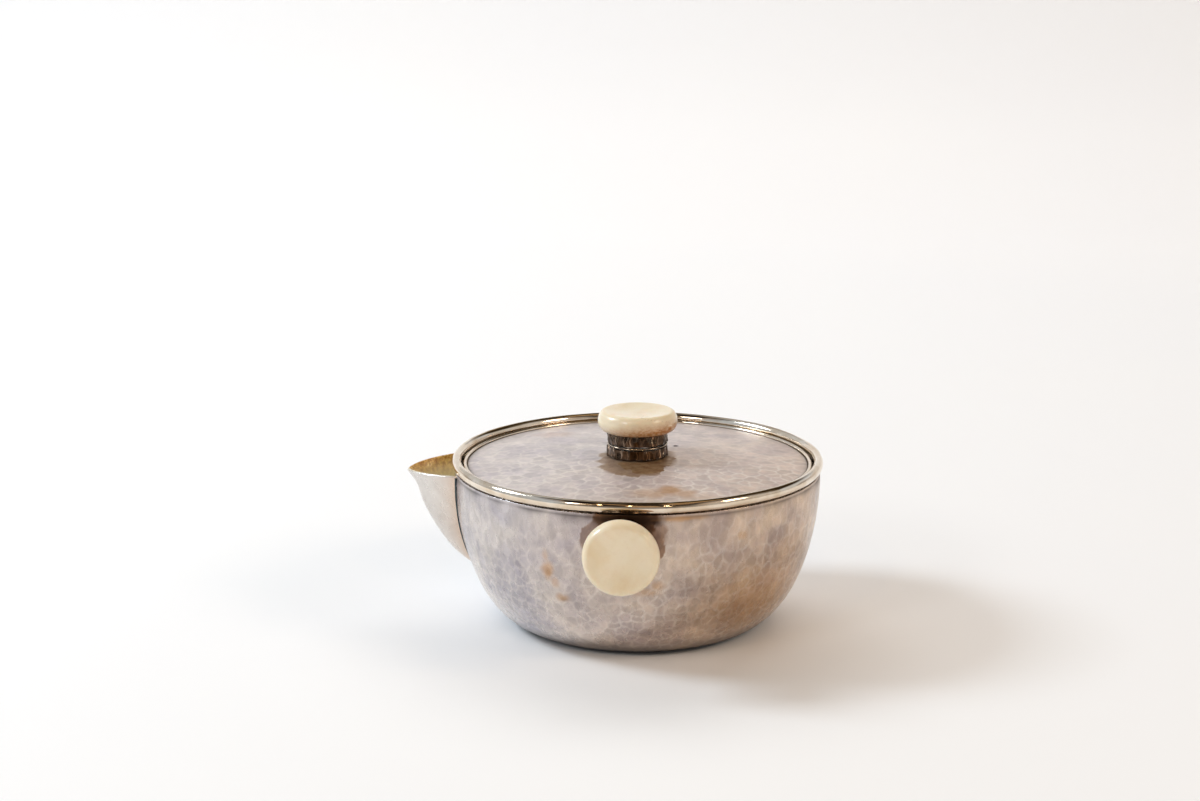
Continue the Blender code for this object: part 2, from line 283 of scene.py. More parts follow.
def tube(path, radius, sides=10):
    """A round wire along a path of points: at each, a circle square to the path's direction."""
    along = np.gradient(path, axis=0)
    along /= np.linalg.norm(along, axis=1)[:, None]
    side = np.cross(along, (0.0, 0.0, 1.0))
    side /= np.linalg.norm(side, axis=1)[:, None]
    up = np.cross(side, along)
    angle = TAU * np.arange(sides) / sides
    size = np.broadcast_to(np.asarray(radius, float), (len(path),))[:, None, None]
    circle = np.cos(angle)[:, None] * side[:, None] + np.sin(angle)[:, None] * up[:, None]
    return path[:, None] + size * circle


# Materials -------------------------------------------------------------------------------------------


def tint(red, green, blue):
    """A colour given on the usual 0 to 255 scale, as the linear values that a shader takes."""
    share = np.array([red, green, blue]) / 255
    linear = np.where(share <= 0.04045, share / 12.92, ((share + 0.055) / 1.055) ** 2.4)
    return (*[float(value) for value in linear], 1.0)


def plug(tree, node, inputs):
    """Sets a node's inputs to values, or links them from other nodes' outputs."""
    for socket, value in inputs.items():
        if isinstance(value, bpy.types.NodeSocket):
            tree.links.new(value, node.inputs[socket])
        else:
            node.inputs[socket].default_value = value


def add(tree, kind, inputs=None, **settings):
    """A node with its settings, and its inputs set to values or linked from other nodes' outputs."""
    made = tree.nodes.new(kind)
    for setting, value in settings.items():
        setattr(made, setting, value)
    plug(tree, made, inputs or {})
    return made


def maths(tree, operation, first, second=0.0, third=0.0, clamp=False):
    return add(
        tree, "ShaderNodeMath", {0: first, 1: second, 2: third}, operation=operation, use_clamp=clamp
    ).outputs[0]


def blend(tree, share, first, second, mode="MIX"):
    """Mixes two colours by a share."""
    return add(
        tree, "ShaderNodeMix", {"Factor": share, 6: first, 7: second}, data_type="RGBA", blend_type=mode
    ).outputs[2]


def ramp(tree, value, low, high, from_low=0.0, from_high=1.0):
    """Carries a value from one range to another, held at the ends."""
    return add(
        tree, "ShaderNodeMapRange",
        {"Value": value, "From Min": from_low, "From Max": from_high, "To Min": low, "To Max": high},
    ).outputs[0]


def noise(tree, vector, scale, detail=3.0, rough=0.55, warp=0.0):
    """Noise whose scale is in features per millimetre of the object."""
    return add(
        tree, "ShaderNodeTexNoise",
        {"Vector": vector, "Scale": scale / MM, "Detail": detail, "Roughness": rough, "Distortion": warp},
    ).outputs[0]


def mark(tree, name):
    """A value that the piece carries on its points."""
    return add(tree, "ShaderNodeAttribute", attribute_name=name).outputs["Fac"]


def object_place(tree):
    """Where a point lies on the object, in metres."""
    return add(tree, "ShaderNodeTexCoord").outputs["Object"]


def relief(tree, shader, height, strength, depth):
    """Gives a material a fine relief from a height field, its depth in millimetres."""
    bump = add(tree, "ShaderNodeBump", {"Height": height, "Strength": strength, "Distance": depth * MM})
    plug(tree, shader, {"Normal": bump.outputs[0]})


def new_group(name, inputs, outputs):
    """An empty node group with named number inputs and number or colour outputs."""
    tree = bpy.data.node_groups.new(name, "ShaderNodeTree")
    for socket, value in inputs.items():
        made = tree.interface.new_socket(socket, in_out="INPUT", socket_type="NodeSocketFloat")
        made.default_value = value
    for socket in outputs:
        tree.interface.new_socket(socket, in_out="OUTPUT", socket_type="NodeSocketFloat")
    return tree, tree.nodes.new("NodeGroupInput").outputs, tree.nodes.new("NodeGroupOutput")


def place_group(tree, group, **values):
    """Puts a group into a material. An input's underscores stand for spaces."""
    made = add(tree, "ShaderNodeGroup", node_tree=group)
    for socket, value in values.items():
        made.inputs[socket.replace("_", " ")].default_value = value
    return made.outputs


def build_hammer_group():
    """Hammer marks: the crests between blows as a mask that breaks up and fades, a shade for each blow, and
    the fine grain that a hammer's face leaves, as a height."""
    tree, given, out = new_group(
        "hammer_marks", {"Crest Width": 0.3, "Crest Fade": 0.5}, ["Crest", "Shade", "Grain"]
    )
    place = object_place(tree)
    uneven = noise(tree, place, 0.9, 4)
    width = maths(tree, "MULTIPLY", given["Crest Width"], ramp(tree, uneven, 0.35, 1.9, 0.25, 0.75))
    near = maths(tree, "DIVIDE", mark(tree, "border"), width)
    line = maths(tree, "POWER", math.e, maths(tree, "MULTIPLY", maths(tree, "MULTIPLY", near, near), -1.0))
    worn = ramp(tree, noise(tree, place, 0.16, 3), 0.0, 1.0, 0.36, 0.62)
    fade = maths(tree, "SUBTRACT", 1.0, maths(tree, "MULTIPLY", given["Crest Fade"], worn))
    crest = maths(tree, "MULTIPLY", maths(tree, "MULTIPLY", line, fade), mark(tree, "crisp"))
    plug(tree, out, {
        "Crest": crest,
        "Shade": mark(tree, "shade"),
        "Grain": noise(tree, place, 2.2, 5, 0.65),
    })
    return tree


def build_tarnish_group():
    """Tarnish: slow cloudy patches, finer mottling drawn a little up the piece, and small dark specks."""
    tree, given, out = new_group(
        "tarnish", {"Cloud Size": 14.0, "Speck Amount": 0.3}, ["Cloud", "Mottle", "Speck"]
    )
    place = object_place(tree)
    rate = maths(tree, "DIVIDE", 1 / MM, given["Cloud Size"])
    cloud = add(
        tree, "ShaderNodeTexNoise", {"Vector": place, "Scale": rate, "Detail": 4.0, "Distortion": 0.6}
    ).outputs[0]
    plug(tree, out, {"Cloud": ramp(tree, cloud, 0.0, 1.0, 0.32, 0.68)})
    drawn = add(tree, "ShaderNodeMapping", {"Vector": place, "Scale": (1.0, 1.0, 0.55)}).outputs[0]
    mottle = ramp(tree, noise(tree, drawn, 0.38, 4, 0.55, 0.4), 0.0, 1.0, 0.32, 0.68)
    plug(tree, out, {"Mottle": mottle})
    speck = ramp(tree, noise(tree, place, 1.3, 2, 0.5), 0.0, 1.0, 0.76, 0.84)
    plug(tree, out, {"Speck": maths(tree, "MULTIPLY", speck, given["Speck Amount"])})
    return tree


def build_polish_group():
    """Wear from polishing: hairlines that run every way, and a slow change in how bright the polish is."""
    tree, given, out = new_group("polish_wear", {"Hairline Depth": 0.4}, ["Hairline", "Haze"])
    place = object_place(tree)
    lines = None
    for turn in (0.3, 1.4, 2.5):
        settings = {"Vector": place, "Rotation": (turn, turn * 0.7, turn), "Scale": (1, 14, 1)}
        turned_place = add(tree, "ShaderNodeMapping", settings).outputs[0]
        line = ramp(tree, noise(tree, turned_place, 0.5, 2), 0.0, 1.0, 0.55, 0.75)
        lines = line if lines is None else maths(tree, "MAXIMUM", lines, line)
    plug(tree, out, {
        "Hairline": maths(tree, "MULTIPLY", lines, given["Hairline Depth"]),
        "Haze": ramp(tree, noise(tree, place, 0.12, 4), 0.0, 1.0, 0.3, 0.7),
    })
    return tree


HAMMER = build_hammer_group()
TARNISH = build_tarnish_group()
POLISH = build_polish_group()


def new_material(name):
    made = bpy.data.materials.new(name)
    made.use_nodes = True
    tree = made.node_tree
    return made, tree, tree.nodes["Principled BSDF"]


# Colours: ochre stains; umber for stains and painted shade; near-black painted shade; tarnish specks; tea
# stains painted pale gold for light inside the spout.
OCHRE, UMBER_AND_SHADE_COLOUR = tint(196, 146, 90), tint(104, 72, 50)
PAINTED_SHADE_COLOUR, SPECK = tint(44, 36, 32), tint(70, 55, 48)
TEA_GOLD_AND_LIGHT = tint(255, 242, 208), tint(232, 212, 170)


def hammered_silver(name, dish, crest, dull, roughness, crest_width, crest_wear_and_sheen_share, side_tone_and_warm_light, metal, knob_reflection):
    """Hand-hammered silver: grey-mauve tarnish in the dishes, warmer to one side from toning and from painted
    warm light, painted lighter near the foot to stand in for the floor's reflection, and with crests made
    brighter by rubbing and by a painted sheen. Over it lie a painted reflection of a knob's disc, umber
    stains with painted shade, tea stains painted pale for the light inside the spout, painted shade and ochre
    that the piece carries.
    The last argument holds the two colours of the painted reflection."""
    made, tree, shader = new_material(name)
    hammer = place_group(tree, HAMMER, Crest_Width=crest_width, Crest_Fade=0.7)
    tarnish = place_group(tree, TARNISH, Cloud_Size=13.0, Speck_Amount=0.2)
    parts = add(tree, "ShaderNodeSeparateXYZ", {0: object_place(tree)}).outputs
    across = maths(tree, "SUBTRACT", parts["X"], maths(tree, "MULTIPLY", parts["Y"], 0.4))
    colour = blend(tree, tarnish["Cloud"], dish, dull)
    # Warmer to the right: partly toning, partly painted warm light from the right.
    colour = blend(tree, ramp(tree, across, 0, 1, -0.02, 0.05), colour, side_tone_and_warm_light, "MULTIPLY")
    # Painted light: up to 22% brighter near the foot, standing in for the bright floor's reflection.
    painted_foot_light = ramp(tree, parts["Z"], 1.22, 1.0, 4 * MM, 30 * MM)
    shade = maths(tree, "MULTIPLY", ramp(tree, hammer["Shade"], 0.9, 1.07), painted_foot_light)
    shade = maths(tree, "MULTIPLY", shade, ramp(tree, tarnish["Mottle"], 0.88, 1.08))
    grey = add(tree, "ShaderNodeCombineColor", {0: shade, 1: shade, 2: shade}).outputs[0]
    colour = blend(tree, 1.0, colour, grey, "MULTIPLY")
    # Crests brighter: partly rubbed wear, partly a painted sheen for ridges that catch the light.
    colour = blend(tree, maths(tree, "MULTIPLY", hammer["Crest"], crest_wear_and_sheen_share), colour, crest)
    # Painted reflection of a knob's disc, in two colours.
    colour = blend(tree, mark(tree, "knob_reflection"), colour, blend(tree, tarnish["Mottle"], *knob_reflection))
    # Umber stains, with painted shade above the grip and a painted dark edge round the grip's reflection.
    colour = blend(tree, mark(tree, "umber_and_shade"), colour, UMBER_AND_SHADE_COLOUR)
    # Tea stain, painted pale gold to stand in for the light that falls inside the spout.
    colour = blend(tree, mark(tree, "tea"), colour, blend(tree, tarnish["Mottle"], *TEA_GOLD_AND_LIGHT))
    # Painted shade: under the rim, at the foot, above the grip, by the lid's edge wire, round its collar and
    # steam hole.
    colour = blend(tree, mark(tree, "painted_shade"), colour, PAINTED_SHADE_COLOUR)
    colour = blend(tree, mark(tree, "ochre"), colour, OCHRE)
    colour = blend(tree, tarnish["Speck"], colour, SPECK)
    plug(tree, shader, {"Base Color": colour})
    haze = ramp(tree, tarnish["Mottle"], roughness - 0.05, roughness + 0.09)
    rough = maths(tree, "ADD", haze, maths(tree, "MULTIPLY", mark(tree, "painted_shade"), 0.25))
    plug(tree, shader, {
        "Roughness": rough,
        "Metallic": metal,
    })
    relief(tree, shader, hammer["Grain"], 0.10, 0.12)
    return made


def plain_silver(name, bright, dull, roughness, hairline, cloud_size=9.0, highlight_streak=None):
    """Smooth silver: rubbed bright with a cloudy, slightly golden film and fine hairlines. An optional last
    colour paints highlight streaks, in the bands that a piece carries as bright."""
    made, tree, shader = new_material(name)
    polish = place_group(tree, POLISH, Hairline_Depth=hairline)
    tarnish = place_group(tree, TARNISH, Cloud_Size=cloud_size, Speck_Amount=0.25)
    colour = blend(tree, tarnish["Cloud"], bright, dull)
    if highlight_streak:
        # Painted highlight streaks, in the bands that the piece carries.
        colour = blend(tree, mark(tree, "bright"), colour, highlight_streak)
    colour = blend(tree, tarnish["Speck"], colour, tint(96, 78, 60))
    plug(tree, shader, {
        "Base Color": colour,
        "Roughness": ramp(tree, polish["Haze"], roughness, roughness + 0.07),
        "Metallic": 1.0,
    })
    relief(tree, shader, polish["Hairline"], 0.12, 0.01)
    return made


def spout_silver():
    """Plain planished sheet: light silver, peach towards the seam and pitted, and tea-stained gold inside,
    painted pale there to stand in for the light that falls inside.
    """
    made, tree, shader = new_material("spout_silver")
    tarnish = place_group(tree, TARNISH, Cloud_Size=9.0, Speck_Amount=0.5)
    polish = place_group(tree, POLISH, Hairline_Depth=0.5)
    cloud = maths(tree, "MULTIPLY", tarnish["Cloud"], 0.7)
    colour = blend(tree, cloud, tint(228, 223, 217), tint(204, 196, 189))
    colour = blend(tree, mark(tree, "seam"), colour, tint(214, 182, 154))
    # Inside: tea-stain gold, painted pale for the light that falls inside.
    inside = blend(tree, tarnish["Mottle"], tint(255, 244, 206), tint(232, 220, 180))
    fine = ramp(tree, noise(tree, object_place(tree), 0.9, 4, 0.65), 0, 1, 0.35, 0.6)
    stained = blend(tree, fine, tint(168, 98, 34), tint(236, 196, 112))
    inside = blend(tree, mark(tree, "lip"), inside, stained)
    colour = blend(tree, mark(tree, "inside"), colour, inside)
    colour = blend(tree, tarnish["Speck"], colour, tint(96, 80, 70))
    plug(tree, shader, {
        "Base Color": colour,
        "Roughness": ramp(tree, tarnish["Mottle"], 0.22, 0.36),
    })
    stain = maths(tree, "MULTIPLY", mark(tree, "inside"), 0.9)
    plug(tree, shader, {"Metallic": maths(tree, "SUBTRACT", 1.0, stain)})
    relief(tree, shader, maths(tree, "SUBTRACT", polish["Hairline"], tarnish["Speck"]), 0.25, 0.03)
    return made


def seam_and_shade_silver(name, dark, light):
    """Nearly black silver with lighter clouds: the old solder of a seam, and painted shade inside a small
    hole.
    """
    made, tree, shader = new_material(name)
    tarnish = place_group(tree, TARNISH, Cloud_Size=3.0, Speck_Amount=0.5)
    plug(tree, shader, {
        "Base Color": blend(tree, tarnish["Cloud"], dark, light),
        "Roughness": ramp(tree, tarnish["Mottle"], 0.4, 0.6),
        "Metallic": 0.7,
    })
    return made


def ivory():
    """Ivory-coloured disc: cream with faint growth lines, yellower in patches, and polished."""
    made, tree, shader = new_material("ivory")
    place = object_place(tree)
    slow = noise(tree, place, 0.06, 3, 0.6, 0.8)
    stretched = add(
        tree, "ShaderNodeMapping", {"Vector": place, "Scale": (1.0, 0.22, 1.6), "Rotation": (0.2, 0.5, 0.3)}
    ).outputs[0]
    growth = noise(tree, stretched, 0.9, 5, 0.6, 0.4)
    colour = blend(tree, ramp(tree, slow, 0, 1, 0.35, 0.65), tint(240, 226, 198), tint(232, 212, 176))
    colour = blend(tree, ramp(tree, growth, 0, 0.1, 0.5, 0.75), colour, tint(206, 172, 122))
    # Darker brown low down on one side, where the disc carries it.
    low_brown = maths(tree, "MULTIPLY", mark(tree, "low_side_brown"), ramp(tree, growth, 0.5, 1.15, 0.35, 0.65))
    colour = blend(tree, low_brown, colour, tint(176, 114, 52))
    colour = blend(tree, mark(tree, "crack"), colour, tint(104, 72, 44))
    plug(tree, shader, {
        "Base Color": colour,
        "Roughness": ramp(tree, growth, 0.24, 0.36),
        "Specular IOR Level": 0.5,
        "Subsurface Weight": 0.25,
        "Subsurface Radius": (1.0, 0.6, 0.35),
        "Subsurface Scale": 1.5 * MM,
        "Coat Roughness": 0.12,
        "Coat Weight": 0.35,
    })
    relief(tree, shader, growth, 0.08, 0.05)
    return made


BOWL_SILVER = hammered_silver(
    "hammered_silver", tint(214, 206, 200), tint(242, 232, 222), tint(180, 174, 180), 0.25, 0.36, 0.5,
    tint(250, 230, 208), 1.0, (tint(146, 112, 86), tint(98, 70, 58)),
)
LID_SILVER = hammered_silver(
    "lid_silver", tint(232, 222, 217), tint(255, 247, 238), tint(212, 202, 204), 0.42, 0.40, 0.6,
    tint(252, 240, 228), 0.5, (tint(176, 144, 106), tint(134, 98, 66)),
)
INNER_SILVER = plain_silver("inner_silver", tint(190, 178, 160), tint(150, 130, 104), 0.3, 0.6, 20.0)
POLISHED_SILVER = plain_silver("polished_silver", tint(242, 230, 214), tint(216, 196, 170), 0.06, 0.35)
WIRE_SILVER = plain_silver("wire_silver", tint(220, 206, 186), tint(112, 92, 74), 0.1, 0.5, 2.0)
# Knob and grip collars: nearly black as a painted reflection of the dark lid and room, with pale painted
# highlight streaks.
COLLAR_PAINTED_REFLECTION = plain_silver(
    "collar_silver", tint(112, 94, 78), tint(40, 31, 25), 0.07, 0.5, 2.6, tint(240, 208, 176)
)
SPOUT_SILVER = spout_silver()
SEAM_SOLDER = seam_and_shade_silver("seam_solder", tint(34, 36, 42), tint(78, 90, 92))
# The steam hole's wall is painted shade, for the hole's dark inside.
HOLE_PAINTED_SHADE = seam_and_shade_silver("hole_painted_shade", tint(12, 10, 10), tint(34, 28, 24))
IVORY = ivory()


# Bowl ------------------------------------------------------------------------------------------------


def wall_outline(offset, count):
    """The wall's quarter oval from the base to the top, moved outwards by an offset, at equal steps."""
    angle = np.linspace(0, math.pi / 2, 400)
    reach = WALL_RADIUS - BASE_RADIUS
    out = np.stack([WALL_HEIGHT * np.sin(angle), -reach * np.cos(angle)], 1)
    out /= np.hypot(*out.T)[:, None]
    curve = np.stack([BASE_RADIUS + reach * np.sin(angle), WALL_HEIGHT * (1 - np.cos(angle))], 1)
    return resample(curve + out * offset, count=count)


def wall_radius(height):
    """Outer radius of the bowl at a height."""
    share = 1 - np.clip(height, 0, WALL_HEIGHT) / WALL_HEIGHT
    return BASE_RADIUS + (WALL_RADIUS - BASE_RADIUS) * np.sqrt(1 - share**2)


# Stains on the wall: angle from the back in degrees, height, half-size across and up in millimetres,
# strength, and how soft the edge is
OCHRE_ON_BOWL = [
    (155.5, 31.0, 2.0, 2.8, 0.55, 0.9), (157.5, 27.5, 1.3, 1.8, 0.35, 0.9),
    (159.5, 22.2, 2.2, 1.3, 0.45, 0.9),
    (155.0, 36.0, 1.0, 2.0, 0.3, 0.9), (186.5, 25.8, 4.5, 1.1, 0.35, 1.0), (190.0, 28.0, 1.8, 1.3, 0.4, 0.9),
    (217.0, 42.0, 1.8, 1.2, 0.3, 1.0), (197.0, 49.6, 6.0, 0.7, 0.6, 0.9), (228.0, 20.0, 16.0, 9.0, 0.35, 1.0),
    (238.0, 30.0, 9.0, 8.0, 0.15, 1.0), (60.0, 30.0, 4.0, 3.0, 0.4, 0.9), (332.0, 38.0, 5.0, 2.0, 0.3, 0.9),
    (20.0, 22.0, 7.0, 3.0, 0.3, 0.9), (290.0, 30.0, 4.0, 6.0, 0.2, 0.9),
]
# The first umber spot, just above the grip under the rim, is painted shade and reflection; the rest are
# stains.
UMBER_AND_SHADE_ON_BOWL = [
    (181.0, 50.5, 12.0, 2.4, 0.6, 0.4), (155.6, 30.6, 0.9, 1.1, 0.4, 0.9), (159.8, 21.6, 1.2, 0.7, 0.5, 0.9),
    (228.0, 15.0, 18.0, 6.0, 0.42, 1.0), (354.0, 44.0, 9.0, 5.0, 0.3, 0.6), (75.0, 12.0, 10.0, 4.0, 0.2, 0.9),
]

# Painted reflection of the grip's disc in the wall: angle from the back, height, half-size across and up in
# millimetres, strength
REFLECTION_ON_BOWL = [
    (180.5, 44.0, 13.0, 7.4, 0.7), (187.6, 41.0, 5.2, 6.6, 0.9), (181.0, 49.6, 10.0, 4.4, 1.0),
    (171.5, 43.5, 4.4, 6.0, 0.7),
]
# Painted shade just above the grip, under the rim, in the same columns as the stains above.
PAINTED_SHADE_ON_BOWL = [(181.5, 49.2, 9.5, 2.4, 0.8, 0.7), (186.0, 46.5, 3.0, 2.6, 0.6, 0.8)]
MM_PER_DEGREE = TAU * WALL_RADIUS / 360


def across_wall(turn):
    """How far round the wall a place lies from the back, in millimetres, for its angle in radians."""
    return np.degrees(turn - math.pi / 2) % 360 * MM_PER_DEGREE


def on_wall(spots):
    """Spots with their angle from the back changed to millimetres round the wall."""
    return [(turn * MM_PER_DEGREE, *rest) for turn, *rest in spots]


def ripple(across, up, rng, waves, shortest, longest):
    """A smooth, uneven field on a flat sheet: a sum of sines, each with its own way and length."""
    field = np.zeros(np.broadcast(across, up).shape)
    for _ in range(waves):
        way, length = rng.uniform(0, TAU), rng.uniform(shortest, longest)
        field += np.sin((across * math.cos(way) + up * math.sin(way)) * TAU / length + rng.uniform(0, TAU))
    return field / math.sqrt(waves)


def stains(across, up, spots, seed):
    """Stains as a mask from 0 to 1. Round a spot's middle the distance, measured in its half-sizes and pushed
    about by a ripple field, is 1 at the edge, and the mask falls from full to nothing across the edge."""
    push = ripple(across, up, np.random.default_rng(seed), 24, 2.0, 9.0) * 0.11
    mask = np.zeros(np.broadcast(across, up).shape)
    for middle, height, half, tall, strength, soft in spots:
        distance = np.hypot((across - middle) / half, (up - height) / tall) + push * (0.5 + soft)
        mask = np.maximum(mask, strength * np.clip((1 - distance) / soft + 0.5, 0, 1))
    return mask


def reflection_patch(blow_across, blow_up, across, up, spots):
    """A painted reflection of a knob's disc, from 0 to 1. It is tested between each point and the place
    where its own blow fell, so its edge leans towards the borders of the hammer marks. Spots are (across, up,
    half-size across, half-size up, strength)."""
    along, over = 0.45 * blow_across + 0.55 * across, 0.45 * blow_up + 0.55 * up
    mask = np.zeros(along.shape)
    for middle, height, half, tall, strength in spots:
        inside = 1 - np.hypot((along - middle) / half, (over - height) / tall)
        mask = np.maximum(mask, strength * np.clip(inside * 14 + 0.5, 0, 1))
    return mask


def strainer_places():
    """Each strainer hole's centre and direction: rows behind the spout, the holes a fixed step apart."""
    for height, count in STRAINER_ROWS:
        radius = float(wall_radius(height))
        for i in range(count):
            turn = math.pi + (i - (count - 1) / 2) * STRAINER_PITCH / radius
            axis = np.array([math.cos(turn), math.sin(turn), 0.0])
            yield axis * (radius - WALL / 2) + (0, 0, height), axis


def bowl_outline():
    """From the middle of the base up the wall and over its top, whose outer corner has extra points."""
    wall = wall_outline(0, 112)
    wall = wall[wall[:, 1] < BOWL_TOP - 0.2]
    base = [(0.0, 0.0), (14.0, 0.0), (28.0, 0.0)]
    corner = [(WALL_RADIUS, BOWL_TOP - 0.12), (WALL_RADIUS, BOWL_TOP), (WALL_RADIUS - 0.12, BOWL_TOP)]
    return np.concatenate([base, wall, corner, [(WALL_RADIUS - WALL, BOWL_TOP)]])


def bowl_marks(outline, along, angle, border, shade, fell, facing, rng):
    """What the bowl's outside carries: the distance from a border in millimetres, and masks from 0 to 1.
    Painted shade lies under the rim, at the foot and above the grip, tea in the spout's mouth, and a painted
    dark edge along the right side of the grip's painted reflection."""
    up, round_at = outline[:, 1:], angle[None]
    from_back = across_wall(round_at)
    ochre = stains(from_back, up, on_wall(OCHRE_ON_BOWL), 21)
    umber_and_shade = stains(from_back, up, on_wall(UMBER_AND_SHADE_ON_BOWL), 22)
    # Painted shade: a dark band under the rim bead, and a painted contact shadow at the foot.
    reach = (0.7 + 0.4 * wander(up, round_at, rng, 10, 4, 30)).clip(0.25)
    under_rim = 0.95 * np.exp(-np.clip(50.4 - up, 0, 9) / reach)
    foot = np.maximum(np.clip((2.6 - up) / 1.4, 0, 1), 0.6 * np.clip((7.5 - up) / 6, 0, 1))
    painted_shade = stains(from_back, up, on_wall(PAINTED_SHADE_ON_BOWL), 25)
    painted_shade = np.maximum(painted_shade, np.maximum(under_rim * (up < 50.6), foot))
    mouth = np.hypot((from_back - 90 * MM_PER_DEGREE) / 15.5, (up - 52) / 26)
    blow_up, blow_across = np.interp(fell, along, outline[:, 1]), across_wall(facing)
    # The painted reflection of the grip's disc in the wall, and below it a painted dark outline on its right
    # side.
    spots = on_wall(REFLECTION_ON_BOWL)
    middle, level, half, tall_half, _ = spots[1]
    # A painted dark outline along the right side of the grip's painted reflection.
    edge_across = (0.6 * blow_across + 0.4 * from_back - middle) / half
    edge_up = (0.6 * blow_up + 0.4 * up - level) / tall_half
    from_edge = 1 - np.hypot(edge_across, edge_up)
    reflection_edge = 0.75 * np.exp(-((from_edge / 0.07) ** 2)) * (from_back > middle)
    return {
        "border": border,
        "shade": shade,
        "ochre": ochre,
        "umber_and_shade": np.maximum(umber_and_shade, reflection_edge),
        "crisp": np.clip(1.05 - np.clip((up - 14) / 34, 0, 1) * 0.8, 0, 1) + 0 * round_at,
        "knob_reflection": reflection_patch(blow_across, blow_up, from_back, up, spots),
        "painted_shade": painted_shade,
        "tea": 0.85 * np.clip((1 - mouth) * 6, 0, 1),
    }


def bowl_surfaces():
    """The bowl: a hammered outside from the middle of the base over the top edge, and a plain inside from
    there down to the floor. The strainer holes go through both."""
    outline = bowl_outline()
    along = np.concatenate([[0], np.cumsum(np.hypot(*np.diff(outline, axis=0).T))])
    radii = np.maximum(outline[:, 0], 4)
    tall = 1.0 + 0.75 * np.clip((outline[:, 1] - 22) / 26, 0, 1)
    nearest, border, shade, fell, facing, angle = strike(along, radii, 840, 3.5, tall, 11)
    rng = np.random.default_rng(5)
    height = dished(nearest, border, 55.0)
    height = height + 0.07 * wander(along[:, None], angle[None], rng, 16, 3, 14) - 0.05
    calm = np.clip((outline[:, 1] - 0.4) / 5, 0, 1) * np.clip((BOWL_TOP - 0.4 - outline[:, 1]) / 1.2, 0, 1)
    points = raised(outline, height * calm[:, None])
    marks = bowl_marks(outline, along, angle, border, shade, fell, facing, rng)
    top, floor = [(WALL_RADIUS - WALL, BOWL_TOP)], [(16.0, WALL), (0.0, WALL)]
    inside = lathe(np.concatenate([top, wall_outline(-WALL, 90)[::-1], floor]), 560)
    drop, inside_drop = np.zeros(points.shape[:2], bool), np.zeros(inside.shape[:2], bool)
    tubes = []
    for centre, axis in strainer_places():
        points, marked = pierce(points, centre, axis, STRAINER_RADIUS, 0.22)
        inside, inside_marked = pierce(inside, centre, axis, STRAINER_RADIUS, 0.3)
        drop |= marked
        inside_drop |= inside_marked
        tubes.append(lining(centre, axis, STRAINER_RADIUS, WALL + 0.5))
    outside = surface("bowl_outside", points, BOWL_SILVER, "pot", marks, drop=drop, poles=(True, False))
    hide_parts("bowl")
    lined = surface("bowl_inside", inside, INNER_SILVER, "pot", drop=inside_drop, poles=(False, True))
    sides = tubes[0].shape[1]
    faces = np.concatenate([grid_faces(2, sides) + i * 2 * sides for i in range(len(tubes))])
    points = np.concatenate([tube.reshape(-1, 3) for tube in tubes])
    holes = put_mesh("strainer_hole_walls", points, [faces], INNER_SILVER, "pot")


def oval(centre_radius, centre_height, half_width, half_height, count=20):
    """The oval section of a drawn wire, going round anticlockwise."""
    angle = TAU * np.arange(count) / count
    across, up = half_width * np.cos(angle), half_height * np.sin(angle)
    return np.stack([centre_radius + across, centre_height + up], 1)


def rim_surfaces():
    """The rim moulding, an oval wire bent round the mouth by hand so that it wavers, and the seat."""
    middle = (RIM_LOW[2] + RIM_HIGH[2]) / 2
    columns = 420
    points = lathe(oval(RIM_HIGH[0] - 1.5, middle, 1.5, 1.8, 24), columns)
    angle = TAU * np.arange(columns) / columns
    rng = np.random.default_rng(8)
    points[..., 2] += 0.05 * wander(0 * angle, angle, rng, 8, 2, 11)
    points[..., :2] *= (1 + 0.0006 * wander(0 * angle, angle, rng, 8, 3, 40))[None, :, None]
    rim = surface("rim_wire", points, POLISHED_SILVER, "pot", closed=True)
    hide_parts("rim_moulding")
    inner, outer, low, high = 54.6, SEAT_HIGH[0], SEAT_LOW[2], SEAT_HIGH[2]
    outline = [(inner, low), (outer, low), (outer, high), (inner + 0.3, high), (inner, high - 0.3)]
    seat = turned("seat_ledge", soften(outline), INNER_SILVER, "pot")
    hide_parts("lid_seat_ring")


def soften(outline, bevel=0.12):
    """A closed outline with each corner cut back a little on both sides, which gives a fine soft edge."""
    outline = np.asarray(outline, float)
    before, after = np.roll(outline, 1, 0) - outline, np.roll(outline, -1, 0) - outline
    cut_before = np.minimum(bevel, 0.4 * np.hypot(*before.T))[:, None] / np.hypot(*before.T)[:, None]
    cut_after = np.minimum(bevel, 0.4 * np.hypot(*after.T))[:, None] / np.hypot(*after.T)[:, None]
    first, last = outline + before * cut_before, outline + after * cut_after
    middle = (first + last) / 2 * 0.4 + outline * 0.6
    return np.stack([first, middle, last], 1).reshape(-1, 2)


# Spout -----------------------------------------------------------------------------------------------


def keel_curve(share):
    """Points of the keel's smooth curve, a Catmull-Rom spline through KEEL, for an array of shares."""
    spans = len(KEEL) - 1
    position = np.clip(share, 0, 1) * spans
    i = np.minimum(position.astype(int), spans - 1)
    t = (position - i)[..., None]
    p0, p1, p2, p3 = (KEEL[np.clip(i + k, 0, spans)] for k in (-1, 0, 1, 2))
    return 0.5 * (
        2 * p1 + (p2 - p0) * t + (2 * p0 - 5 * p1 + 4 * p2 - p3) * t**2 + (3 * p1 - p0 - 3 * p2 + p3) * t**3
    )


